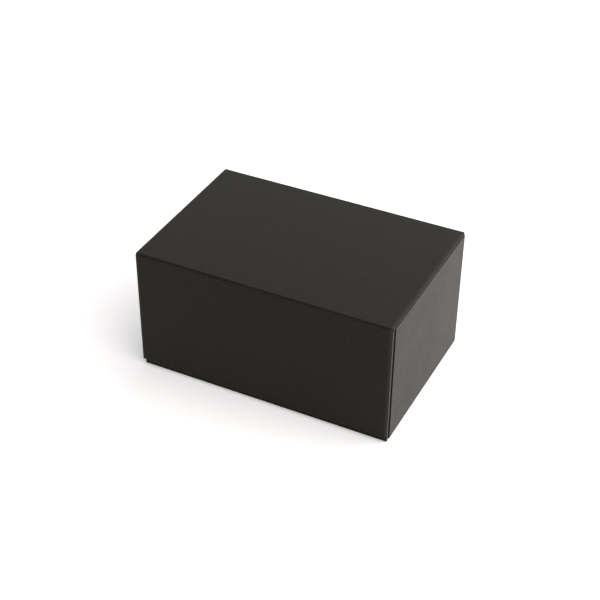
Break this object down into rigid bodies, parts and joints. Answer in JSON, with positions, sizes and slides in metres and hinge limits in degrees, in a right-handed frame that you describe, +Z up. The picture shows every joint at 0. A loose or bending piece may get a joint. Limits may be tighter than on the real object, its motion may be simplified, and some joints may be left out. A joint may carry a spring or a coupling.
{
  "type": "sliding drawer gift box",
  "caption": "Rectangular rigid gift box wrapped in black paper: a folded cover over a standing case, and a deep tray with a flush end face that slides out lengthwise.",
  "frame": {"origin": "centre of the box's footprint, on the surface it stands on", "axes": "+X along the length, towards the end that the drawer leaves by; -Y towards the long front; +Z up"},
  "size_m": [0.2, 0.134, 0.101],
  "materials": {
    "greyboard": "matte grey binder's board",
    "wrap_paper": "black uncoated fine-grain paper with a soft sheen",
    "lining_paper": "plain matte black paper",
    "corner_tape": "brown gummed kraft tape"
  },
  "bodies": {
    "case": {"case_bottom_board": "greyboard", "case_front_board": "greyboard", "case_back_board": "greyboard", "case_top_board": "greyboard", "case_corner_tapes": "corner_tape", "case_wrap_paper": "wrap_paper", "case_lining_paper": "lining_paper", "case_base_paper": "wrap_paper", "cover_top_board": "greyboard", "cover_front_board": "greyboard", "cover_back_board": "greyboard", "cover_wrap_paper": "wrap_paper", "cover_liner_paper": "lining_paper"},
    "drawer": {"drawer_bottom_board": "greyboard", "drawer_front_side": "greyboard", "drawer_back_side": "greyboard", "drawer_rear_board": "greyboard", "drawer_inner_board": "greyboard", "drawer_corner_tapes": "corner_tape", "drawer_wrap_paper": "wrap_paper", "drawer_lining_paper": "lining_paper", "drawer_floor_paper": "lining_paper", "drawer_base_paper": "wrap_paper", "drawer_face_board": "greyboard", "drawer_face_paper": "wrap_paper", "drawer_face_liner": "lining_paper"}
  },
  "joints": [
    {"name": "drawer_slide", "type": "slide", "parent": "case", "child": "drawer", "axis": [1, 0, 0], "range_m": [0, 0.165]}
  ]
}
